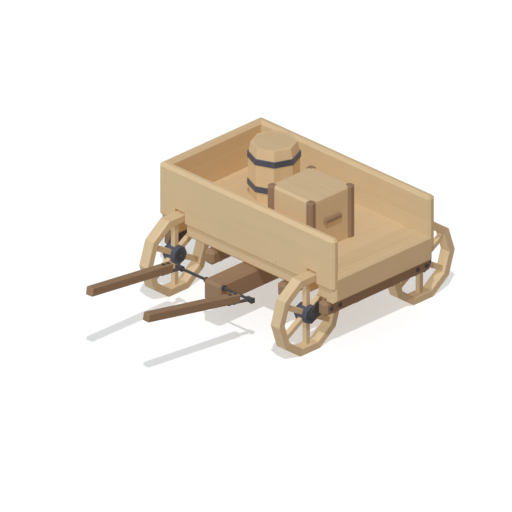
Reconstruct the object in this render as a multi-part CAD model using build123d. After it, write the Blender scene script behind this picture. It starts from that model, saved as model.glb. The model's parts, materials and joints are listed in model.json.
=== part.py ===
from build123d import *
import math
import os

# Timber mine cart: a tray open at one end, four spoked wheels, two hinged draught shafts, a keg and a crate.
# Millimetres, Z up, ground at Z = 0. The cart travels along Y with its shafts pointing to -Y. The tray lies
# across it along X and is open at +X. Y is measured from the tray's middle until main() shifts the cart.

# Two places nearer than this are the same
SNAP = 1e-6

# Wheels: ten-sided timber rim, square spokes and an eight-sided iron hub
WHEEL_R = 267.0
RIM_SIDES = 10
RIM_DEPTH = 51.0
WHEEL_WIDTH = 74.0
SPOKE_COUNT = 6
SPOKE_SIZE = 34.0
HUB_R = 59.0
HUB_SIDES = 8
HUB_LENGTH = 96.0
LINER_R = 20.0
RIM_BEVEL = 3.0
SPOKE_BEVEL = 2.0
HUB_BEVEL = 3.0

# Stub axles and the plates that carry them
AXLE_R = 13.0
RUNNING_GAP = 0.05
AXLE_HEAD_R = 24.0
AXLE_HEAD = 8.0
AXLE_TAIL = 18.0
HUB_END_GAP = 2.0
PLATE = 10.0
PLATE_EYE_R = 32.0
PLATE_LENGTH = 150.0
PLATE_BOLT_END = 45.0
PLATE_BOLT_CLEAR = 18.0
WASHER_R = 32.0
WASHER = 4.0
LINCH_PIN_R = 4.0
LINCH_PIN_LENGTH = 76.0

# Tray
TRAY_LENGTH = 1484.0
TRAY_WIDTH = 874.0
WALL = 60.0
WALL_HEIGHT = 354.0
WALL_LAP = 92.0
EDGE_BEVEL = 18.0
WHEEL_OUT = 43.0
WHEEL_INSET = 184.0
WHEEL_GAP = 3.0
WHEEL_SIDE_GAP = 5.0
PEG_R = 9.0
PEG_DEPTH = 45.0
END_PEG_DEPTH = 15.0
SIDE_PEGS = 6
END_PEGS = 4
CORNER_PEGS = 3

# Floor frame and deck
FRAME_DEPTH = 175.0
DECK = 21.0
DECK_BOARDS = 12
BOARD_BEVEL = 1.0
DECK_PEG_R = 6.0
DECK_PEG_DEPTH = 24.0
DECK_PEG_COVER = 6.0
SILL_INSET = 18.0
SILL_WIDTH = 102.0
END_SILL_WIDTH = 72.0
BEARER_WIDTH = 72.0
BEARER_GAP = 27.0

# Chassis rails and the draw beam under the frame
RAIL_WIDTH = 75.0
RAIL_HEIGHT = 96.0
RAIL_END_GAP = 7.0
INNER_RAIL_X = 308.0
BEAM_WIDTH = 139.0
BEAM_HEIGHT = 141.0
BEAM_NOSE = 292.0
BEAM_BEVEL = 16.0
BOLT_R = 6.0
BOLT_GAP = 0.25
BOLT_HEAD = 8.0
THIN_HEAD = 6.0
BOLT_HEAD_SIZE = 22.0
BOLT_BITE = 90.0

# Draught shafts and their ironwork
CROSSBAR_R = 9.0
CROSSBAR_INSET = 34.0
CROSSBAR_DEPTH = 24.5
SHAFT_SPREAD = 292.0
SHAFT_LENGTH = 742.0
SHAFT_SIZE = 54.0
SHAFT_BEVEL = 3.0
SHAFT_PITCH = 8.8
SHAFT_TOE_IN = 3.6
SHAFT_STANDOFF = 101.0
STRAP_WIDTH = 30.0
STRAP = 7.0
STRAP_LAP = 90.0
EYE_R = 18.0
EYE_LENGTH = 34.0
SHAFT_BOLT_R = 5.0
SHAFT_BOLT_SIZE = 18.0
SHAFT_BOLT_END = 25.0
SHAFT_BOLT_SPACING = 42.0
NUT = 14.0
NUT_SIZE = 30.0
COLLAR_R = 18.0
COLLAR = 10.0
SIDE_PLAY = 1.0

# Keg: eight flat staves, each bent in at both ends
KEG_END_GAP = 208.5
KEG_REAR_GAP = 97.5
KEG_SIDES = 8
KEG_HEIGHT = 358.0
KEG_END_R = 142.0
KEG_BELLY_R = 157.0
STAVE = 18.0
HOOP = 5.5
HOOP_HEIGHT = 39.0
LOWER_HOOP_Z = 91.0
UPPER_HOOP_Z = 273.0
KEG_HEAD = 18.0
KEG_HEAD_RECESS = 1.5

# Crate: four bevelled corner posts with panels let in between them and a lid flush with the posts' tops
CRATE_KEG_GAP = 193.0
CRATE_FRONT_GAP = 70.5
CRATE_SPAN = 327.0
CRATE_HEIGHT = 346.0
POST_SIZE = 54.0
POST_BEVEL = 14.0
POST_END_BEVEL = 7.0
PANEL = 18.0
PANEL_OUT = 12.0
LID = 24.0
LID_BEVEL = 12.0
CRATE_LIFT = 4.0
HANDLE_LENGTH = 138.0
HANDLE_HEIGHT = 31.0
HANDLE_DEPTH = 24.0
HANDLE_Z = 185.0
HANDLE_BEVEL = 5.0
NAIL_SPACING = 66.0
NAIL_R = 3.0
NAIL_HEAD_R = 5.0
NAIL_HEAD = 1.5
NAIL_LENGTH = 34.0

# Heights that follow from the wheel: the deck clears the rim where the rim passes under its edge.
axle_z = WHEEL_R * math.cos(math.pi / RIM_SIDES)
wheel_top = axle_z + WHEEL_R
deck_under = axle_z + math.sqrt(WHEEL_R**2 - (WHEEL_OUT + WALL) ** 2) + WHEEL_GAP
floor_z = deck_under + DECK
frame_z = floor_z - FRAME_DEPTH
wall_z = floor_z - WALL_LAP
wall_top = wall_z + WALL_HEIGHT
rail_z = frame_z - RAIL_HEIGHT
beam_z = frame_z - BEAM_HEIGHT

# Places along X, outwards from the wheel: hub end, plate, rail
half_length = TRAY_LENGTH / 2
half_width = TRAY_WIDTH / 2
inner_y = half_width - WALL
wheel_x = half_length - WHEEL_INSET
wheel_y = half_width + WHEEL_OUT
plate_x = wheel_x + HUB_LENGTH / 2 + HUB_END_GAP
outer_rail_x = plate_x + PLATE + RAIL_WIDTH / 2
slot_half = WHEEL_WIDTH / 2 + WHEEL_SIDE_GAP
tail_x = half_length - END_SILL_WIDTH
head_x = -half_length + SILL_INSET + END_SILL_WIDTH
rail_half = wheel_y - AXLE_HEAD_R - RAIL_END_GAP
bearer_y = wheel_y - WHEEL_R - BEARER_GAP - BEARER_WIDTH / 2
sill_bolt_y = inner_y - (SILL_WIDTH + SILL_INSET - WALL) / 2

# The shafts' hinge line
beam_nose_y = -half_width - BEAM_NOSE
hinge_y = beam_nose_y + CROSSBAR_INSET
hinge_z = frame_z - CROSSBAR_DEPTH

# The cargo: the keg stands off the head corner, the crate off the keg and the front wall
keg_reach = KEG_BELLY_R + HOOP
keg_x = -half_length + WALL + KEG_END_GAP + keg_reach
keg_y = inner_y - KEG_REAR_GAP - keg_reach
post_centre = CRATE_SPAN / 2
crate_reach = post_centre + POST_SIZE / 2
crate_x = keg_x + keg_reach + CRATE_KEG_GAP + crate_reach
crate_y = -inner_y + CRATE_FRONT_GAP + crate_reach
panel_end = post_centre - POST_SIZE / 2
panel_face = post_centre + PANEL_OUT
panel_inside = panel_face - PANEL
lid_z = CRATE_HEIGHT - LID

keg_place = Pos(keg_x, keg_y, floor_z)
crate_place = Pos(crate_x, crate_y, floor_z)

CORNERS = {"front_left": (-1, -1), "front_right": (1, -1), "rear_left": (-1, 1), "rear_right": (1, 1)}
SIDES = {"left": -1, "right": 1}


def block(x, y, z):
    """A box between two limits on each axis."""
    size = [high - low for low, high in (x, y, z)]
    return Pos(*[(low + high) / 2 for low, high in (x, y, z)]) * Box(*size)


def outward(side, low, high):
    """The limits low..high measured from the middle towards one side."""
    return tuple(sorted((side * low, side * high)))


def rod(radius, start, end):
    """A round bar from one point to another."""
    line = Vector(*end) - Vector(*start)
    return extrude(Plane(origin=start, z_dir=line) * Circle(radius), line.length)


def long_edges(shape, axis, size):
    return chamfer(shape.edges().filter_by(axis), size)


def prism(sides, radius, length, turn=0.0):
    """A regular prism about X, centred, with a corner at the angle turn from Y."""
    return extrude(Plane.YZ * RegularPolygon(radius, sides, rotation=turn), length / 2, both=True)


def cut_all(shape, tools):
    for tool in tools:
        shape -= tool
    return shape


# ---- Wheels ----

def felloes():
    """Straight rim segments, mitred together, about the wheel's own centre; the first is at the foot."""
    step = 360 / RIM_SIDES
    foot = -90
    inner = WHEEL_R - RIM_DEPTH
    half = math.radians(step / 2)
    outline = [
        (radius * math.cos(sign * half), radius * math.sin(sign * half))
        for radius, sign in ((inner, -1), (WHEEL_R, -1), (WHEEL_R, 1), (inner, 1))
    ]
    segment = extrude(Plane.YZ * make_face(Polyline(*outline, close=True)), WHEEL_WIDTH / 2, both=True)
    rim_edges = [
        edge for edge in segment.edges()
        if abs(abs(edge.center().X) - WHEEL_WIDTH / 2) < SNAP and abs(edge.center().Z) < SNAP
    ]
    segment = chamfer(rim_edges, RIM_BEVEL)
    return [Rot(X=foot + step * number) * segment for number in range(RIM_SIDES)]


def spokes():
    """Square spokes, one pair upright, fitted to the hub's flats and to the inside of the rim."""
    foot_corner = -90 + 180 / RIM_SIDES
    inside = prism(RIM_SIDES, WHEEL_R - RIM_DEPTH, WHEEL_WIDTH, foot_corner)
    hub = prism(HUB_SIDES, HUB_R, HUB_LENGTH)
    blank = block((-SPOKE_SIZE / 2, SPOKE_SIZE / 2), (-SPOKE_SIZE / 2, SPOKE_SIZE / 2), (0, WHEEL_R))
    blank = long_edges(blank, Axis.Z, SPOKE_BEVEL)
    return [(Rot(X=360 / SPOKE_COUNT * number) * blank & inside) - hub for number in range(SPOKE_COUNT)]


def hub():
    body = prism(HUB_SIDES, HUB_R, HUB_LENGTH)
    ends = [edge for edge in body.edges() if abs(abs(edge.center().X) - HUB_LENGTH / 2) < SNAP]
    return chamfer(ends, HUB_BEVEL) - rod(LINER_R, (-HUB_LENGTH, 0, 0), (HUB_LENGTH, 0, 0))


def liner():
    half = HUB_LENGTH / 2
    bore = rod(AXLE_R + RUNNING_GAP, (-HUB_LENGTH, 0, 0), (HUB_LENGTH, 0, 0))
    return rod(LINER_R, (-half, 0, 0), (half, 0, 0)) - bore


def wheel_parts(corner):
    """One wheel's nodes, at its corner of the cart."""
    side, end = CORNERS[corner]
    place_wheel = Pos(side * wheel_x, end * wheel_y, axle_z)
    pieces = {"felloes": felloes(), "spokes": spokes(), "hub": [hub()], "liner": [liner()]}
    return {
        f"wheel_{corner}_{name}": [place_wheel * solid for solid in solids]
        for name, solids in pieces.items()
    }


# ---- Stub axles and plates ----

def plate_bolt_points(end):
    """Where a plate's two bolts pass through the rail, as Y and Z: either side of the rail's end bolt."""
    z = (rail_z + frame_z) / 2
    return [(end * (rail_half - PLATE_BOLT_END), z), (end * (sill_bolt_y - PLATE_BOLT_CLEAR), z)]


def axle_plate(side, end):
    """Iron plate on the rail's wheel side, reaching past the rail's end to an eye for the stub axle."""
    low = rail_z + EDGE_BEVEL
    high = frame_z - EDGE_BEVEL
    start = end * (rail_half - PLATE_LENGTH)
    stop = end * rail_half
    outline = Polyline((start, low), (stop, low), (stop, high), (start, high), close=True).edges()
    outline += (Pos(end * wheel_y, axle_z) * CenterArc((0, 0), PLATE_EYE_R, 0, 360)).edges()
    face = Plane.YZ * make_hull(outline)
    shape = Pos(side * (plate_x + PLATE / 2), 0, 0) * extrude(face, PLATE / 2, both=True)
    shape -= axle_core(side, end)
    for y, z in plate_bolt_points(end):
        shape -= rod(BOLT_R + BOLT_GAP, (0, y, z), (side * half_length, y, z))
    return shape


def axle_core(side, end):
    """The plain round length of a stub axle, from its inboard end to the plate's outer face."""
    inboard = (side * (wheel_x - HUB_LENGTH / 2 - WASHER - AXLE_TAIL), end * wheel_y, axle_z)
    return rod(AXLE_R, inboard, (side * (plate_x + PLATE), end * wheel_y, axle_z))


def linch_pin(side, end):
    x = side * (wheel_x - HUB_LENGTH / 2 - WASHER - AXLE_TAIL / 2)
    half = LINCH_PIN_LENGTH / 2
    return rod(LINCH_PIN_R, (x, end * wheel_y, axle_z - half), (x, end * wheel_y, axle_z + half))


def stub_axle(side, end):
    start = (side * (plate_x + PLATE), end * wheel_y, axle_z)
    stop = (side * (plate_x + PLATE + AXLE_HEAD), end * wheel_y, axle_z)
    return axle_core(side, end) + rod(AXLE_HEAD_R, start, stop) - linch_pin(side, end)


def axle_washer(side, end):
    near = wheel_x - HUB_LENGTH / 2 - HUB_END_GAP / 2
    far = near - WASHER
    disc = rod(WASHER_R, (side * near, end * wheel_y, axle_z), (side * far, end * wheel_y, axle_z))
    return disc - axle_core(side, end)


def square_bolt(start, end, radius, head_size, head):
    """A bolt with a square head behind its start point and a square nut on its far end."""
    line = (Vector(*end) - Vector(*start)).normalized()
    shank = rod(radius, start, end)
    under = extrude(Plane(origin=start, z_dir=-line) * Rectangle(head_size, head_size), head)
    return shank + under


def square_nut(at, direction, radius, size, thickness):
    body = extrude(Plane(origin=at, z_dir=direction) * Rectangle(size, size), thickness)
    far = Vector(*at) + Vector(*direction) * thickness * 2
    near = Vector(*at) - Vector(*direction) * thickness
    return body - rod(radius, tuple(near), tuple(far))


def plate_bolts():
    """Through-bolts that hold the axle plates, with their nuts on the rail's outer face."""
    bolts = []
    rail_face = outer_rail_x + RAIL_WIDTH / 2
    for side, end in CORNERS.values():
        for y, z in plate_bolt_points(end):
            start = (side * plate_x, y, z)
            stop = (side * (rail_face + BOLT_HEAD), y, z)
            bolts.append(square_bolt(start, stop, BOLT_R, BOLT_HEAD_SIZE, THIN_HEAD))
            seat = (side * rail_face, y, z)
            bolts.append(square_nut(seat, (side, 0, 0), BOLT_R, BOLT_HEAD_SIZE, BOLT_HEAD))
    return bolts


# ---- Rails, draw beam and floor frame ----

def chassis_bolt_points():
    """Where the long bolts enter the rails and the beam on their way up into the frame, as X, Y and Z."""
    rail_rows = [(x, rail_z) for x in (-outer_rail_x, -INNER_RAIL_X, INNER_RAIL_X, outer_rail_x)]
    return [
        (x, y, z)
        for x, z in rail_rows + [(0, beam_z)]
        for y in (-sill_bolt_y, -bearer_y, bearer_y, sill_bolt_y)
    ]


def chassis_bolts():
    return [
        square_bolt((x, y, z), (x, y, frame_z + BOLT_BITE), BOLT_R, BOLT_HEAD_SIZE, BOLT_HEAD)
        for x, y, z in chassis_bolt_points()
    ]


def bolt_holes():
    return [
        rod(BOLT_R + BOLT_GAP, (x, y, z - BOLT_HEAD), (x, y, frame_z + BOLT_BITE))
        for x, y, z in chassis_bolt_points()
    ]


def rail(x):
    beam = block(
        (x - RAIL_WIDTH / 2, x + RAIL_WIDTH / 2), (-rail_half, rail_half), (rail_z, frame_z)
    )
    beam = chamfer(beam.edges(), EDGE_BEVEL)
    if abs(x) > INNER_RAIL_X:
        side = math.copysign(1, x)
        for end in (-1, 1):
            for y, z in plate_bolt_points(end):
                beam -= rod(BOLT_R + BOLT_GAP, (0, y, z), (side * half_length, y, z))
    return cut_all(beam, bolt_holes())


def draw_beam():
    half = BEAM_WIDTH / 2
    beam = chamfer(block((-half, half), (beam_nose_y, rail_half), (beam_z, frame_z)).edges(), BEAM_BEVEL)
    beam -= rod(CROSSBAR_R + RUNNING_GAP, (-BEAM_WIDTH, hinge_y, hinge_z), (BEAM_WIDTH, hinge_y, hinge_z))
    return cut_all(beam, bolt_holes())


def wheel_slots(top):
    """The spaces that the rims turn in, up to the given height."""
    return [
        block(
            outward(side, wheel_x - slot_half, wheel_x + slot_half),
            outward(end, 0, wheel_y),
            (0, top),
        )
        for side, end in CORNERS.values()
    ]


def mitre(end, x, y):
    """The space beyond the mitre plane of a head corner, on the side of the given outer X and Y."""
    outer = (-half_length - WALL, end * (half_width + WALL))
    inner = (-half_length + 2 * WALL, end * (inner_y - WALL))
    wedge = make_face(Polyline(outer, inner, (x, end * y), close=True))
    return Pos(0, 0, wall_z - WALL) * extrude(wedge, WALL_HEIGHT + 2 * WALL)


def side_wall(end):
    """Front or rear wall: full length, notched for the wheels and mitred to the end wall."""
    wall = block((-half_length, half_length), outward(end, inner_y, half_width), (wall_z, wall_top))
    wall = chamfer(wall.edges(), EDGE_BEVEL) - mitre(end, -half_length - WALL, inner_y - WALL)
    return cut_all(wall, wheel_slots(wheel_top + WHEEL_GAP) + wall_pegs())


def end_wall():
    wall = block((-half_length, -half_length + WALL), (-half_width, half_width), (wall_z, wall_top))
    mitres = [mitre(end, -half_length + 2 * WALL, half_width + WALL) for end in (-1, 1)]
    return cut_all(chamfer(wall.edges(), EDGE_BEVEL), mitres + wall_pegs())


def spaced(count, low, high):
    """Evenly spaced places, half a step in from both limits."""
    step = (high - low) / count
    return [low + step * (number + 0.5) for number in range(count)]


def wall_pegs():
    """Wooden pegs: along the foot of each wall into the frame, and up the two corners into the end wall."""
    peg_z = (wall_z + deck_under) / 2
    pegs = []
    for end in (-1, 1):
        reach = (end * half_width, end * (inner_y - PEG_DEPTH))
        clear = wheel_x - slot_half
        for x in spaced(SIDE_PEGS, -clear, clear):
            pegs.append(rod(PEG_R, (x, reach[0], peg_z), (x, reach[1], peg_z)))
        x = -half_length + WALL / 2
        for z in spaced(CORNER_PEGS, floor_z, wall_top):
            pegs.append(rod(PEG_R, (x, reach[0], z), (x, reach[1], z)))
    for y in spaced(END_PEGS, -inner_y, inner_y):
        pegs.append(rod(PEG_R, (-half_length, y, peg_z), (-half_length + WALL + END_PEG_DEPTH, y, peg_z)))
    return pegs


def long_sill(end):
    """Side sill of the frame, rebated for the foot of its wall and broken at the two wheel slots."""
    outer = half_width - SILL_INSET
    inner = outer - SILL_WIDTH
    low = block((head_x, tail_x), outward(end, inner, outer), (frame_z, wall_z))
    edge = low.edges().filter_by(Axis.X).sort_by(lambda e: end * e.center().Y - e.center().Z / 1000)[-2:]
    low = chamfer(edge.sort_by(Axis.Z)[0], EDGE_BEVEL)
    sill = low + block((head_x, tail_x), outward(end, inner, inner_y), (wall_z, deck_under))
    return cut_all(sill, wheel_slots(deck_under) + bolt_holes() + wall_pegs()).solids()


def outer_edge(beam, side):
    """The edge along Y that is outermost: highest at +X, lowest at -X."""
    edges = beam.edges().filter_by(Axis.Y)
    return edges.sort_by(lambda edge: side * (edge.center().X + edge.center().Z))[-1]


def end_sill(side):
    """End sill: the tail one rises to floor level, the head one is rebated for the end wall."""
    outer_y = half_width - SILL_INSET
    if side > 0:
        low = block((tail_x, half_length), (-outer_y, outer_y), (frame_z, wall_z + EDGE_BEVEL))
        high = block((tail_x, half_length), (-inner_y - EDGE_BEVEL, inner_y + EDGE_BEVEL), (wall_z, floor_z))
        lower_edges = [
            edge for edge in low.edges() if edge.center().X > half_length - SNAP and edge.center().Z < wall_z
        ]
        low = chamfer(lower_edges, EDGE_BEVEL)
        high = chamfer(outer_edge(high, 1), EDGE_BEVEL)
        sill = low + high
    else:
        outer = -half_length + SILL_INSET
        low = block((outer, head_x), (-outer_y, outer_y), (frame_z, wall_z))
        low = chamfer(outer_edge(low, -1), EDGE_BEVEL)
        sill = low + block((-half_length + WALL, head_x), (-inner_y, inner_y), (wall_z, deck_under))
    return cut_all(sill, [side_wall(-1), side_wall(1), end_wall()] + bolt_holes() + wall_pegs())


def cross_bearers():
    half = BEARER_WIDTH / 2
    return [
        cut_all(
            block((head_x, tail_x), (y - half, y + half), (frame_z, deck_under)), bolt_holes() + deck_pegs()
        )
        for y in (-bearer_y, bearer_y)
    ]


def board_limits():
    """The X limits of each deck board, from the end wall to the tail sill."""
    start = -half_length + WALL
    step = (tail_x - start) / DECK_BOARDS
    return [(start + step * number, start + step * (number + 1)) for number in range(DECK_BOARDS)]


def deck_pegs():
    """Blind pegs that stand in the cross bearers and hold each board from below."""
    return [
        rod(
            DECK_PEG_R,
            ((low + high) / 2, y, deck_under - DECK_PEG_DEPTH),
            ((low + high) / 2, y, floor_z - DECK_PEG_COVER),
        )
        for low, high in board_limits()
        for y in (-bearer_y, bearer_y)
    ]


def deck_boards():
    """Boards across the tray."""
    boards = []
    for limits in board_limits():
        board = block(limits, (-inner_y, inner_y), (deck_under, floor_z))
        top = board.edges().filter_by(Axis.Y).sort_by(Axis.Z)[-2:]
        boards.append(cut_all(chamfer(top, BOARD_BEVEL), deck_pegs()))
    return boards


# ---- Draught shafts ----

def shaft_frame(side):
    """The place of one shaft's strap eye, turned so that the shaft runs along its own -Y."""
    return Pos(side * SHAFT_SPREAD, hinge_y, hinge_z) * Rot(Z=-side * SHAFT_TOE_IN) * Rot(X=-SHAFT_PITCH)


def shaft_bolt_places():
    first = -SHAFT_STANDOFF - SHAFT_BOLT_END
    return [first, first - SHAFT_BOLT_SPACING]


def shaft_bolt(y):
    """A bolt up through strap and shaft, with its nut on top, in the shaft's own frame."""
    top = STRAP / 2 + SHAFT_SIZE
    bolt = square_bolt((0, y, -STRAP / 2), (0, y, top + BOLT_HEAD), SHAFT_BOLT_R, SHAFT_BOLT_SIZE, THIN_HEAD)
    return [bolt, square_nut((0, y, top), (0, 0, 1), SHAFT_BOLT_R, SHAFT_BOLT_SIZE, THIN_HEAD)]


def shaft_holes():
    return [
        rod(SHAFT_BOLT_R + BOLT_GAP, (0, y, -SHAFT_SIZE), (0, y, 2 * SHAFT_SIZE))
        for y in shaft_bolt_places()
    ]


def shaft(side):
    half = SHAFT_SIZE / 2
    pole = block(
        (-half, half), (-SHAFT_STANDOFF - SHAFT_LENGTH, -SHAFT_STANDOFF), (STRAP / 2, STRAP / 2 + SHAFT_SIZE)
    )
    return shaft_frame(side) * cut_all(chamfer(pole.edges(), SHAFT_BEVEL), shaft_holes())


def crossbar():
    half = SHAFT_SPREAD + EYE_LENGTH / 2 + NUT + SIDE_PLAY
    return rod(CROSSBAR_R, (-half, hinge_y, hinge_z), (half, hinge_y, hinge_z))


def shaft_strap(side):
    """Flat iron under the shaft's inner end, closed round the crossbar in an eye."""
    half = STRAP_WIDTH / 2
    flat = block((-half, half), (-SHAFT_STANDOFF - STRAP_LAP, 0), (-STRAP / 2, STRAP / 2))
    near = side * (SHAFT_SPREAD - EYE_LENGTH / 2)
    far = side * (SHAFT_SPREAD + EYE_LENGTH / 2)
    eye = rod(EYE_R, (near, hinge_y, hinge_z), (far, hinge_y, hinge_z))
    return shaft_frame(side) * cut_all(flat, shaft_holes()) + eye - crossbar()


def crossbar_nuts():
    face = SHAFT_SPREAD + EYE_LENGTH / 2
    return [
        square_nut((side * face, hinge_y, hinge_z), (side, 0, 0), CROSSBAR_R, NUT_SIZE, NUT)
        for side in (-1, 1)
    ]


def crossbar_collars():
    """Rings that keep the crossbar central in the draw beam."""
    near = BEAM_WIDTH / 2 + SIDE_PLAY
    far = near + COLLAR
    return [
        rod(COLLAR_R, (side * near, hinge_y, hinge_z), (side * far, hinge_y, hinge_z)) - crossbar()
        for side in (-1, 1)
    ]


# ---- Keg ----

def keg_body(inset):
    """The keg's eight-sided barrel shape, drawn in by the given amount."""
    squeeze = inset / math.cos(math.pi / KEG_SIDES)
    rings = [
        (0, KEG_END_R),
        (LOWER_HOOP_Z, KEG_BELLY_R),
        (UPPER_HOOP_Z, KEG_BELLY_R),
        (KEG_HEIGHT, KEG_END_R),
    ]
    faces = [Pos(0, 0, z) * RegularPolygon(radius - squeeze, KEG_SIDES) for z, radius in rings]
    body = loft(faces[:2], ruled=True)
    for lower, upper in zip(faces[1:-1], faces[2:]):
        body += loft([lower, upper], ruled=True)
    return body


def keg_staves():
    shell = keg_body(0) - keg_body(STAVE)
    reach = 2 * KEG_BELLY_R
    half = math.pi / KEG_SIDES
    wedge = Polyline((0, 0), (reach, -reach * math.tan(half)), (reach, reach * math.tan(half)), close=True)
    wedge = Pos(0, 0, -KEG_HEIGHT) * extrude(make_face(wedge), 3 * KEG_HEIGHT)
    return [
        keg_place * (shell & Rot(Z=360 / KEG_SIDES * (number + 0.5)) * wedge) for number in range(KEG_SIDES)
    ]


def keg_heads():
    """Round-edged ends let in between the staves, one at the foot and one at the top."""
    inside = keg_body(STAVE)
    across = (-KEG_BELLY_R, KEG_BELLY_R)
    low = block(across, across, (KEG_HEAD_RECESS, KEG_HEAD_RECESS + KEG_HEAD))
    high = Pos(0, 0, KEG_HEIGHT - 2 * KEG_HEAD_RECESS - KEG_HEAD) * low
    return [keg_place * (inside & slab) for slab in (low, high)]


def keg_hoop(middle):
    ring = extrude(RegularPolygon(keg_reach, KEG_SIDES), HOOP_HEIGHT)
    return keg_place * (Pos(0, 0, middle - HOOP_HEIGHT / 2) * ring - keg_body(0))


# ---- Crate ----

def crate_post_set():
    half = POST_SIZE / 2
    post = block((-half, half), (-half, half), (0, CRATE_HEIGHT))
    post = long_edges(post, Axis.Z, POST_BEVEL)
    post = chamfer(post.edges().filter_by(Plane.XY), POST_END_BEVEL)
    return [Pos(x, y, 0) * post for x in (-post_centre, post_centre) for y in (-post_centre, post_centre)]


def crate_posts():
    return [crate_place * post for post in crate_post_set()]


def crate_panels():
    """Four side panels let in between the posts."""
    panel = block((panel_inside, panel_face), (-panel_end, panel_end), (CRATE_LIFT, lid_z))
    return [crate_place * cut_all(Rot(Z=90 * turn) * panel, crate_nail_rods()) for turn in range(4)]


def crate_lid():
    lid = block((-panel_face, panel_face), (-panel_face, panel_face), (lid_z, CRATE_HEIGHT))
    lid = chamfer(lid.faces().sort_by(Axis.Z)[-1].edges(), LID_BEVEL)
    return crate_place * cut_all(lid, crate_post_set())


def crate_base():
    """Bottom board between the panels, trimmed round the posts."""
    across = (-panel_inside, panel_inside)
    base = block(across, across, (CRATE_LIFT, CRATE_LIFT + PANEL))
    return crate_place * cut_all(base, crate_post_set())


def nail_points():
    """Where the nails pass through the end panels, as the side and Y."""
    return [(side, y) for side in (-1, 1) for y in (-NAIL_SPACING / 2, NAIL_SPACING / 2)]


def crate_nail_rods():
    """The nails driven outwards through the end panels into the handles, before their heads are added."""
    return [
        rod(NAIL_R, (side * panel_inside, y, HANDLE_Z), (side * (panel_inside + NAIL_LENGTH), y, HANDLE_Z))
        for side, y in nail_points()
    ]


def crate_handles():
    """A wooden bar on each end panel."""
    half = HANDLE_LENGTH / 2
    bars = []
    for side in (-1, 1):
        bar = block(
            outward(side, panel_face, panel_face + HANDLE_DEPTH),
            (-half, half),
            (HANDLE_Z - HANDLE_HEIGHT / 2, HANDLE_Z + HANDLE_HEIGHT / 2),
        )
        free_edges = [edge for edge in bar.edges() if abs(edge.center().X) > panel_face + SNAP]
        bars.append(crate_place * cut_all(chamfer(free_edges, HANDLE_BEVEL), crate_nail_rods()))
    return bars


def crate_nails():
    far = panel_inside - NAIL_HEAD
    heads = [
        rod(NAIL_HEAD_R, (side * far, y, HANDLE_Z), (side * panel_inside, y, HANDLE_Z))
        for side, y in nail_points()
    ]
    return [crate_place * (nail + head) for nail, head in zip(crate_nail_rods(), heads)]


# ---- The whole cart ----

def cart_parts():
    """Every node with its list of solids, Y measured from the tray's middle."""
    parts = {
        "deck_boards": deck_boards(),
        "deck_pegs": deck_pegs(),
        "front_sill": long_sill(-1),
        "rear_sill": long_sill(1),
        "head_sill": [end_sill(-1)],
        "tail_sill": [end_sill(1)],
        "cross_bearers": cross_bearers(),
        "front_wall": [side_wall(-1)],
        "rear_wall": [side_wall(1)],
        "end_wall": [end_wall()],
        "wall_pegs": wall_pegs(),
        "rail_outer_left": [rail(-outer_rail_x)],
        "rail_inner_left": [rail(-INNER_RAIL_X)],
        "rail_inner_right": [rail(INNER_RAIL_X)],
        "rail_outer_right": [rail(outer_rail_x)],
        "draw_beam": [draw_beam()],
        "chassis_bolts": chassis_bolts(),
        "axle_plate_bolts": plate_bolts(),
        "axle_washers": [axle_washer(*corner) for corner in CORNERS.values()],
        "linch_pins": [linch_pin(*corner) for corner in CORNERS.values()],
        "crossbar": [crossbar()],
        "crossbar_nuts": crossbar_nuts(),
        "crossbar_collars": crossbar_collars(),
        "shaft_straps": [shaft_strap(side) for side in (-1, 1)],
        "shaft_bolts": [
            shaft_frame(side) * piece
            for side in (-1, 1)
            for y in shaft_bolt_places()
            for piece in shaft_bolt(y)
        ],
        "keg_staves": keg_staves(),
        "keg_heads": keg_heads(),
        "keg_hoops": [keg_hoop(middle) for middle in (LOWER_HOOP_Z, UPPER_HOOP_Z)],
        "crate_posts": crate_posts(),
        "crate_panels": crate_panels(),
        "crate_lid": [crate_lid()],
        "crate_base": [crate_base()],
        "crate_handles": crate_handles(),
        "crate_nails": crate_nails(),
    }
    for corner, (side, end) in CORNERS.items():
        parts.update(wheel_parts(corner))
        parts[f"axle_plate_{corner}"] = [axle_plate(side, end)]
        parts[f"stub_axle_{corner}"] = [stub_axle(side, end)]
    for name, side in SIDES.items():
        parts[f"shaft_{name}"] = [shaft(side)]
    return parts


def middle_shift(parts):
    """How far the cart moves along Y so that the middle of its whole length is at the origin."""
    boxes = [solid.bounding_box() for solids in parts.values() for solid in solids]
    return -(min(box.min.Y for box in boxes) + max(box.max.Y for box in boxes)) / 2


def main():
    os.makedirs("parts", exist_ok=True)
    parts = cart_parts()
    shift = middle_shift(parts)
    for name, shapes in parts.items():
        solids = [Pos(0, shift, 0) * solid for shape in shapes for solid in shape.solids()]
        export_step(solids[0] if len(solids) == 1 else Compound(children=solids), f"parts/{name}.step")
    print(f"nodes {len(parts)}, tray shift {shift:.4f}, hinge at Y {hinge_y + shift:.4f} Z {hinge_z:.4f}")
    print(f"wheels at X {wheel_x:.4f} Y {shift:.4f} +- {wheel_y:.4f} Z {axle_z:.4f}, floor {floor_z:.4f}")


main()
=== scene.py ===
import json
import math
import random

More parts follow.
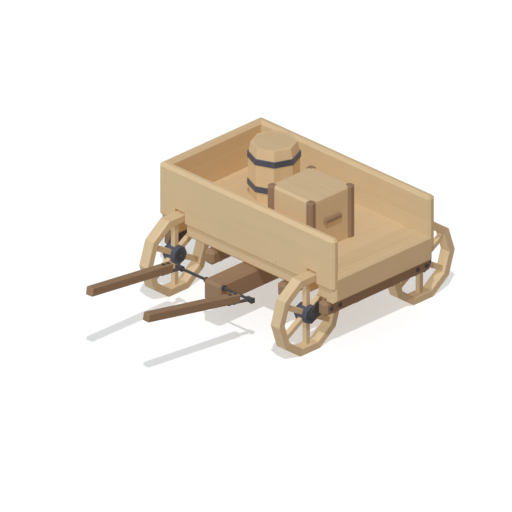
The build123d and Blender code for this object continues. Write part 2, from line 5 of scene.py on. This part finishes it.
import bmesh
import bpy
import numpy as np
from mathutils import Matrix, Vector

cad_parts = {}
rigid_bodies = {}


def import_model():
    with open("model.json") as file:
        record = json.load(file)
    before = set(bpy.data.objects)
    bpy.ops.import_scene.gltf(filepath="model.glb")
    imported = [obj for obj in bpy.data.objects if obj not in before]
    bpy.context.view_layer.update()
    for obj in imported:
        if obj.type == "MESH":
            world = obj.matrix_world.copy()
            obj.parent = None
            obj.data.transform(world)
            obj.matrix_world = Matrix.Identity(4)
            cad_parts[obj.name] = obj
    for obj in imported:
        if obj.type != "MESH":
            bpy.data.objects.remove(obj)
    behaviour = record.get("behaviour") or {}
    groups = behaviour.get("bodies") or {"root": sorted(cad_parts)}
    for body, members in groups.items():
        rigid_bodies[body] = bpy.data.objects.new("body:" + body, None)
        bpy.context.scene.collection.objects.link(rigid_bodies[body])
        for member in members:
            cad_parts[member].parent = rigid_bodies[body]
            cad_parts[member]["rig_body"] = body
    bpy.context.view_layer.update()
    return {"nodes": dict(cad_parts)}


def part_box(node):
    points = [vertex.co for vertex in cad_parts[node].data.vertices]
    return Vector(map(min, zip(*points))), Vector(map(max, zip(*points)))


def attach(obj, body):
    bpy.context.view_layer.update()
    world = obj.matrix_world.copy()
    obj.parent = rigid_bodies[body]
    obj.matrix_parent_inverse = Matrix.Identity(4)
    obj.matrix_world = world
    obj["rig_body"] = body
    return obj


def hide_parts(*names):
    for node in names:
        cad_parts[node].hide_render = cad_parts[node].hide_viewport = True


# Timber mine cart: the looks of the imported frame. Metres, Z up, ground at Z = 0.

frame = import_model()

# View: parallel projection from the +X -Y corner, aimed beside the ground under the tray's middle
VIEW_AZIMUTH = 45.0
VIEW_ELEVATION = 26.99
VIEW_WIDTH = 3.072
VIEW_DISTANCE = 20.0
AIM_RIGHT = -0.246
AIM_UP = 0.2334

# Light: one sun that casts the shadow, a cool fill from -Y and warm lamps all round, both shadowless, and a white sky
SUN = 1.30
SUN_DIRECTION = (-0.3886, 0.3886, -0.8342)
SUN_ANGLE = 1.0
FILL = 1.59
FILL_TINT = (0.744, 0.915, 1.0)
FILL_ELEVATION = 31.0
SKY = 0.30
ROUND_LAMP = 0.26
ROUND_TINT = (1.0, 0.72, 0.45)
LAMP_ANGLE = 5.0

# Floor: pale, with a faint cool glow that offsets the warm light which the cart throws on it
FLOOR_SIZE = 80.0
FLOOR_TONE = (0.938, 0.953, 1.0)
FLOOR_GLOW = 0.08
FLOOR_GLOW_TINT = (0.35, 0.75, 1.0)

# Edges: how far each kind of piece is rounded
SLAB_ROUND = 0.0025
BEAM_ROUND = 0.0020
SMALL_ROUND = 0.0010
SHARP_ANGLE = 20.0
SHORTEST_ROUNDED = 0.008
ROUND_STEPS = 2
ROUND_PROFILE = 0.5

# Reading a CAD mesh: digits (metres) to which points are matched, and the turn below which two faces are one
POINT_DIGITS = 6
AXIS_DIGITS = 5
FLAT_ANGLE = 0.3
UPRIGHT_COSINE = 0.9
END_GRAIN_COSINE = 0.8

# Pith: where the centre of a board's growth rings lies from its middle, at random within these
PITH_ALONG = 5.0
PITH_ACROSS = 0.04
PITH_NEAR = 0.05
PITH_FAR = 0.11

# Timber: noise is stretched along, across and through the grain, and each mark has a strength
WAVE_FREQUENCY = 20.0
RING_STRETCH = (0.07, 1.0, 1.0)
RING_WARP = {"Distortion": 6.0, "Detail": 3.0, "Detail Scale": 0.22, "Detail Roughness": 0.55}
RING_SHARPNESS = 1.6
RING_MIDDLE = 0.4
RING_DEPTH = 0.7
STREAK_STRETCH = (0.9, 16.0, 16.0)
FIBRE_STRETCH = (9.0, 420.0, 420.0)
FIBRE_STRENGTH = 0.22
CLOUD_SCALE = 5.0
CLOUD_STRENGTH = 0.25
NOISE_MIDDLE = 0.5
WOOD_LIGHT = 1.12
WOOD_DARK = 0.88
END_GRAIN_TONE = 1.02
# Timber edges: rounded faces are lighter in patches, partly from rubbing and partly painted highlight
EDGE_PATCH_SCALE = 26.0
EDGE_PATCH_RANGE = (0.35, 0.6)
WOOD_ROUGHNESS = (0.66, 0.82)
WOOD_MARKS = (0.2, 0.8)
WOOD_SPECULAR = 0.3
WOOD_RELIEF = 0.0004
WOOD_BUMP = 0.6

# Iron: clouded tone and gloss, hammer marks and specks, and rubbed edges
IRON_CLOUD_SCALE = 14.0
IRON_CLOUDS = (0.3, 0.7)
IRON_LIGHT = 1.15
IRON_DARK = 0.85
HAMMER_SCALE = 70.0
HAMMER_DEPTH = 0.8
SPECK_SCALE = 160.0
SPECK_DEPTH = 0.3
RUBBED_SPECKS = (0.4, 0.6, 0.2, 1.0)
RUBBED_TONE = 2.4
GLOSS_BELOW = 0.08
GLOSS_ABOVE = 0.1
IRON_SPECULAR = 0.5
IRON_RELIEF = 0.0006
IRON_BUMP = 0.5

# Directions of a board's length
UP = (0.0, 0.0, 1.0)
ACROSS = (1.0, 0.0, 0.0)
ALONG = (0.0, 1.0, 0.0)


# ---- Solids of a CAD node ----

def solids_of(mesh):
    """Each closed solid of a mesh as a list of faces, each face a list of points, in stored order."""
    points = [tuple(round(c, POINT_DIGITS) for c in vertex.co) for vertex in mesh.vertices]
    solids, faces, unmatched = [], [], {}
    for polygon in mesh.polygons:
        face = [points[index] for index in polygon.vertices]
        faces.append(face)
        for start, end in zip(face, face[1:] + face[:1]):
            if start == end:
                continue
            if unmatched.get((end, start)):
                unmatched[(end, start)] -= 1
                if not unmatched[(end, start)]:
                    del unmatched[(end, start)]
            else:
                unmatched[(start, end)] = unmatched.get((start, end), 0) + 1
        if not unmatched:
            solids.append(faces)
            faces = []
    return solids


def welded(faces):
    """One solid as a bmesh whose flat sides are single faces."""
    solid = bmesh.new()
    corners = {}
    made = set()
    for face in faces:
        for point in face:
            if point not in corners:
                corners[point] = solid.verts.new(point)
        key = frozenset(face)
        if len(key) > 2 and key not in made:
            made.add(key)
            solid.faces.new([corners[point] for point in face])
    flat = math.radians(FLAT_ANGLE)
    bmesh.ops.dissolve_limit(solid, angle_limit=flat, verts=solid.verts, edges=solid.edges)
    return solid


def round_edges(solid, width):
    """Rounds the long sharp edges and marks the faces this makes in a face layer."""
    rounded_faces = solid.faces.layers.float.new("edge")
    sharp = [
        edge for edge in solid.edges
        if edge.is_manifold
        and edge.calc_face_angle() > math.radians(SHARP_ANGLE)
        and edge.calc_length() > SHORTEST_ROUNDED
    ]
    if width and sharp:
        made = bmesh.ops.bevel(
            solid, geom=sharp, offset=width, offset_type="OFFSET", segments=ROUND_STEPS,
            profile=ROUND_PROFILE, affect="EDGES", clamp_overlap=True,
        )
        for face in made["faces"]:
            face[rounded_faces] = 1.0


def long_axis(points):
    """Axes of a board, as rows: along its length, then across."""
    centred = points - (points.min(0) + points.max(0)) / 2
    _, _, rows = np.linalg.svd(np.unique(np.round(centred, AXIS_DIGITS), axis=0), full_matrices=False)
    return rows


def axes_for(points, along):
    """Rows of a board's own axes: the given grain direction, or the board's length."""
    if along is None:
        return long_axis(points)
    first = np.array(along, float)
    second = np.cross(first, UP if abs(first[2]) < UPRIGHT_COSINE else ACROSS)
    return np.array([first, second, np.cross(first, second)])


def dressed(node, material, width, along=None, suffix="wood"):
    """A detailed copy of a CAD node: rounded edges, and each board's grain coordinates, tone and end grain."""
    merged = bmesh.new()
    grain = merged.verts.layers.float_vector.new("grain")
    board = merged.verts.layers.float.new("board")
    end = merged.faces.layers.float.new("end")
    edge = merged.faces.layers.float.new("edge")
    for number, faces in enumerate(solids_of(frame["nodes"][node].data)):
        dice = random.Random(f"{node} {number}")
        solid = welded(faces)
        round_edges(solid, width)
        rounded_faces = solid.faces.layers.float["edge"]
        points = np.array([vertex.co for vertex in solid.verts])
        rows = axes_for(points, along)
        pith = (
            dice.uniform(0, PITH_ALONG), dice.uniform(-PITH_ACROSS, PITH_ACROSS),
            dice.choice((-1, 1)) * dice.uniform(PITH_NEAR, PITH_FAR),
        )
        local = (points - points.mean(0)) @ rows.T + np.array(pith)
        tone = dice.random()
        copies = {}
        for vertex, place in zip(solid.verts, local):
            copy = merged.verts.new(vertex.co)
            copy[grain] = place
            copy[board] = tone
            copies[vertex] = copy
        solid.normal_update()
        for face in solid.faces:
            copy = merged.faces.new([copies[vertex] for vertex in face.verts])
            copy[edge] = face[rounded_faces]
            copy[end] = 1.0 if abs(face.normal.dot(Vector(rows[0]))) > END_GRAIN_COSINE else 0.0
        solid.free()
    mesh = bpy.data.meshes.new(f"{node}_{suffix}")
    merged.to_mesh(mesh)
    merged.free()
    mesh.materials.append(material)
    piece = bpy.data.objects.new(f"{node}_{suffix}", mesh)
    bpy.context.scene.collection.objects.link(piece)
    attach(piece, frame["nodes"][node]["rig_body"])
    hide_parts(node)
    return piece


# ---- Materials ----

class Shader:
    """A Principled material and short ways to add nodes to it."""

    def __init__(self, name, **settings):
        self.material = bpy.data.materials.new(name)
        self.material.use_nodes = True
        self.tree = self.material.node_tree
        self.surface = self.tree.nodes["Principled BSDF"]
        for socket, value in settings.items():
            self.surface.inputs[socket.replace("_", " ")].default_value = value

    def add(self, kind, inputs=(), **properties):
        node = self.tree.nodes.new(kind)
        for name, value in properties.items():
            setattr(node, name, value)
        for socket, value in dict(inputs).items():
            self.feed(node.inputs[socket], value)
        return node

    def feed(self, socket, value):
        if isinstance(value, bpy.types.NodeSocket):
            self.tree.links.new(value, socket)
        else:
            socket.default_value = value

    def attribute(self, name, output="Fac"):
        return self.add("ShaderNodeAttribute", attribute_name=name).outputs[output]

    def place(self):
        return self.add("ShaderNodeTexCoord").outputs["Object"]

    def stretch(self, vector, factors):
        return self.add("ShaderNodeVectorMath", {0: vector, 1: factors}, operation="MULTIPLY").outputs[0]

    def noise(self, vector, scale, detail=2.0, roughness=0.5):
        inputs = {"Vector": vector, "Scale": scale, "Detail": detail, "Roughness": roughness}
        return self.add("ShaderNodeTexNoise", inputs).outputs["Fac"]

    def math(self, operation, first, second=0.0):
        return self.add("ShaderNodeMath", {0: first, 1: second}, operation=operation).outputs[0]

    def swing(self, value, middle, strength):
        return self.math("MULTIPLY", self.math("SUBTRACT", value, middle), strength)

    def spread(self, value, low, high, to_low=0.0, to_high=1.0):
        inputs = {"Value": value, "From Min": low, "From Max": high, "To Min": to_low, "To Max": to_high}
        return self.add("ShaderNodeMapRange", inputs).outputs["Result"]

    def blend(self, factor, first, second):
        node = self.add("ShaderNodeMix", data_type="RGBA")
        for socket, value in ((node.inputs[0], factor), (node.inputs[6], first), (node.inputs[7], second)):
            self.feed(socket, value)
        return node.outputs[2]

    def scaled(self, colour, factor):
        node = self.add("ShaderNodeVectorMath", {0: colour}, operation="SCALE")
        self.feed(node.inputs["Scale"], factor)
        return node.outputs[0]

    def finish(self, colour, roughness, height, depth, strength):
        bump = self.add("ShaderNodeBump", {"Height": height, "Distance": depth, "Strength": strength})
        self.feed(self.surface.inputs["Base Color"], colour)
        self.feed(self.surface.inputs["Roughness"], roughness)
        self.feed(self.surface.inputs["Normal"], bump.outputs["Normal"])
        return self.material


def rgba(colour, factor=1.0):
    return tuple(channel * factor for channel in colour) + (1.0,)


def wood(name, colour, ring=0.0065, contrast=0.22, streaks=0.5, variety=0.08, wear_and_edge_highlight=0.10):
    """Timber whose growth rings run round each board's own pith line, with fibres and streaks, and rounded edges
    lighter in patches, partly from rubbing and partly as a painted highlight.
    """
    shader = Shader(name, Specular_IOR_Level=WOOD_SPECULAR)
    grain = shader.attribute("grain", "Vector")
    rings = shader.add(
        "ShaderNodeTexWave",
        {"Vector": shader.stretch(grain, RING_STRETCH), "Scale": 2 * math.pi / (WAVE_FREQUENCY * ring), **RING_WARP},
        wave_type="RINGS", rings_direction="X", wave_profile="SIN",
    ).outputs["Fac"]
    rings = shader.math("POWER", rings, RING_SHARPNESS)
    broad = shader.noise(shader.stretch(grain, STREAK_STRETCH), 1.0, 3.0)
    fibre = shader.noise(shader.stretch(grain, FIBRE_STRETCH), 1.0, 2.0, 0.6)
    cloud = shader.noise(grain, CLOUD_SCALE, 3.0)
    mark = shader.swing(rings, RING_MIDDLE, contrast)
    for value, strength in ((broad, streaks), (fibre, FIBRE_STRENGTH), (cloud, CLOUD_STRENGTH)):
        mark = shader.math("ADD", mark, shader.swing(value, NOISE_MIDDLE, strength))
    mark = shader.math("ADD", mark, NOISE_MIDDLE)
    shade = shader.blend(mark, rgba(colour, WOOD_LIGHT), rgba(colour, WOOD_DARK))
    tone = shader.spread(shader.attribute("board"), 0.0, 1.0, 1 - variety / 2, 1 + variety / 2)
    tone = shader.math("MULTIPLY", tone, shader.spread(shader.attribute("end"), 0.0, 1.0, 1.0, END_GRAIN_TONE))
    # Rounded edges are lighter in patches, partly from rubbing and partly painted highlight
    rubbed = shader.spread(shader.noise(grain, EDGE_PATCH_SCALE, 2.0), *EDGE_PATCH_RANGE)
    rubbed = shader.math("MULTIPLY", rubbed, shader.math("MULTIPLY", shader.attribute("edge"), wear_and_edge_highlight))
    tone = shader.math("ADD", tone, rubbed)
    roughness = shader.spread(mark, *WOOD_MARKS, *WOOD_ROUGHNESS)
    height = shader.math("SUBTRACT", fibre, shader.math("MULTIPLY", rings, RING_DEPTH))
    return shader.finish(shader.scaled(shade, tone), roughness, height, WOOD_RELIEF, WOOD_BUMP)


def iron(name, colour, roughness=0.45, polish=0.35):
    """Forged iron: hammered, clouded, with rubbed edges."""
    shader = Shader(name, Metallic=0.0, Specular_IOR_Level=IRON_SPECULAR)
    place = shader.place()
    cloud = shader.noise(place, IRON_CLOUD_SCALE, 4.0, 0.6)
    speck = shader.noise(place, SPECK_SCALE, 3.0, 0.6)
    hammer = shader.add(
        "ShaderNodeTexVoronoi", {"Vector": place, "Scale": HAMMER_SCALE}, feature="SMOOTH_F1",
    ).outputs["Distance"]
    shade = shader.blend(shader.spread(cloud, *IRON_CLOUDS), rgba(colour, IRON_DARK), rgba(colour, IRON_LIGHT))
    rubbed = shader.math("MULTIPLY", shader.attribute("edge"), shader.spread(speck, *RUBBED_SPECKS))
    shade = shader.blend(shader.math("MULTIPLY", rubbed, polish), shade, rgba(colour, RUBBED_TONE))
    gloss = shader.spread(cloud, *IRON_CLOUDS, roughness - GLOSS_BELOW, roughness + GLOSS_ABOVE)
    height = shader.math(
        "ADD", shader.math("MULTIPLY", hammer, HAMMER_DEPTH), shader.math("MULTIPLY", speck, SPECK_DEPTH),
    )
    return shader.finish(shade, gloss, height, IRON_RELIEF, IRON_BUMP)


TAN = (0.542, 0.407, 0.250)
WHEEL_TAN = (0.555, 0.425, 0.270)
BROWN = (0.258, 0.166, 0.103)
BLUE_IRON = (0.062, 0.072, 0.103)
DARK_IRON = (0.050, 0.050, 0.055)
BRASS = (0.45, 0.32, 0.12)

# Each timber's rounded edges are lighter, partly from rubbing and partly painted highlight
light_wood = wood("light_timber", TAN)
peg_wood = wood("peg_timber", TAN, ring=0.004, contrast=0.3, variety=0.16)
wheel_wood = wood("wheel_timber", WHEEL_TAN, ring=0.005, variety=0.07)
brown_wood = wood("brown_timber", BROWN, ring=0.006, contrast=0.3, variety=0.14, wear_and_edge_highlight=0.18)
blue_iron = iron("blue_iron_look", BLUE_IRON)
dark_iron = iron("dark_iron_look", DARK_IRON)
brass = iron("brass_look", BRASS, roughness=0.35)

# ---- The cart's pieces ----

CORNERS = ("front_left", "front_right", "rear_left", "rear_right")

for node in ("front_wall", "rear_wall", "front_sill", "rear_sill", "cross_bearers"):
    dressed(node, light_wood, SLAB_ROUND, ACROSS)
for node in ("end_wall", "head_sill", "tail_sill"):
    dressed(node, light_wood, SLAB_ROUND, ALONG)
dressed("deck_boards", light_wood, 0.0, ALONG)
for node in ("wall_pegs", "deck_pegs"):
    dressed(node, peg_wood, 0.0)
for node in ("rail_outer_left", "rail_inner_left", "rail_inner_right", "rail_outer_right", "draw_beam"):
    dressed(node, brown_wood, BEAM_ROUND, ALONG)
for side in ("left", "right"):
    dressed(f"shaft_{side}", brown_wood, SMALL_ROUND)
dressed("keg_staves", light_wood, SMALL_ROUND, UP)
dressed("keg_heads", light_wood, SMALL_ROUND, ACROSS)
dressed("crate_posts", brown_wood, SMALL_ROUND, UP)
dressed("crate_panels", light_wood, SMALL_ROUND, UP)
dressed("crate_lid", light_wood, SMALL_ROUND, ACROSS)
dressed("crate_base", light_wood, SMALL_ROUND, ACROSS)
dressed("crate_handles", brown_wood, SMALL_ROUND, ALONG)
for corner in CORNERS:
    dressed(f"wheel_{corner}_felloes", wheel_wood, SMALL_ROUND)
    dressed(f"wheel_{corner}_spokes", wheel_wood, SMALL_ROUND / 2)
    dressed(f"wheel_{corner}_hub", blue_iron, SMALL_ROUND, ACROSS, "iron")
dressed("keg_hoops", blue_iron, SMALL_ROUND, UP, "iron")

IRON_LOOKS = {"dark_iron": dark_iron, "blue_iron": blue_iron, "bearing_brass": brass}
for node in frame["nodes"].values():
    for holder in node.material_slots:
        holder.material = IRON_LOOKS.get(holder.material.name, holder.material)


# ---- Stage ----

def lamp(name, strength, direction, angle, key=False, colour=(1.0, 1.0, 1.0)):
    """A sun lamp that shines along the given direction; only the key lamp casts shadows and highlights."""
    light = bpy.data.lights.new(name, "SUN")
    light.energy = strength
    light.angle = math.radians(angle)
    light.use_shadow = key
    light.color = colour
    holder = bpy.data.objects.new(name, light)
    holder.rotation_mode = "QUATERNION"
    holder.rotation_quaternion = Vector(direction).to_track_quat("-Z", "Y")
    holder.visible_glossy = key
    bpy.context.scene.collection.objects.link(holder)


def icosahedron():
    """Twelve evenly spread directions."""
    golden = (1 + math.sqrt(5)) / 2
    plane = [(0, one, other * golden) for one in (-1, 1) for other in (-1, 1)]
    return [Vector(p[turn:] + p[:turn]).normalized() for p in plane for turn in range(3)]


def lights():
    lamp("sun", SUN, SUN_DIRECTION, SUN_ANGLE, key=True)
    slope = math.radians(FILL_ELEVATION)
    lamp("fill", FILL, (0, math.cos(slope), -math.sin(slope)), LAMP_ANGLE, colour=FILL_TINT)
    for number, direction in enumerate(icosahedron()):
        lamp(f"round_{number}", ROUND_LAMP, direction, LAMP_ANGLE, colour=ROUND_TINT)
    world = bpy.data.worlds.new("sky")
    world.use_nodes = True
    sky = world.node_tree.nodes["Background"]
    sky.inputs["Color"].default_value = (1.0, 1.0, 1.0, 1.0)
    sky.inputs["Strength"].default_value = SKY
    bpy.context.scene.world = world


def floor():
    bpy.ops.mesh.primitive_plane_add(size=FLOOR_SIZE)
    ground = bpy.context.object
    ground.name = "floor"
    shader = Shader("floor_paint", Roughness=1.0, Specular_IOR_Level=0.0)
    shader.surface.inputs["Base Color"].default_value = rgba(FLOOR_TONE)
    shader.surface.inputs["Emission Color"].default_value = rgba(FLOOR_GLOW_TINT)
    shader.surface.inputs["Emission Strength"].default_value = FLOOR_GLOW
    ground.data.materials.append(shader.material)
    ground.visible_diffuse = False
    ground.visible_glossy = False
    ground.visible_shadow = False


def camera():
    """Looks down at the cart in parallel projection."""
    azimuth, elevation = math.radians(VIEW_AZIMUTH), math.radians(VIEW_ELEVATION)
    level = math.cos(elevation)
    back = Vector((math.sin(azimuth) * level, -math.cos(azimuth) * level, math.sin(elevation)))
    right = Vector((math.cos(azimuth), math.sin(azimuth), 0.0))
    low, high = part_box("end_wall")
    ground = Vector((0.0, (low.y + high.y) / 2, 0.0))
    aim = ground + right * AIM_RIGHT + back.cross(right) * AIM_UP
    eye = bpy.data.cameras.new("camera")
    eye.type = "ORTHO"
    eye.ortho_scale = VIEW_WIDTH
    holder = bpy.data.objects.new("camera", eye)
    holder.rotation_mode = "QUATERNION"
    holder.location = aim + back * VIEW_DISTANCE
    holder.rotation_quaternion = (-back).to_track_quat("-Z", "Y")
    bpy.context.scene.collection.objects.link(holder)
    bpy.context.scene.camera = holder


lights()
floor()
camera()
bpy.context.scene.view_settings.view_transform = "Standard"
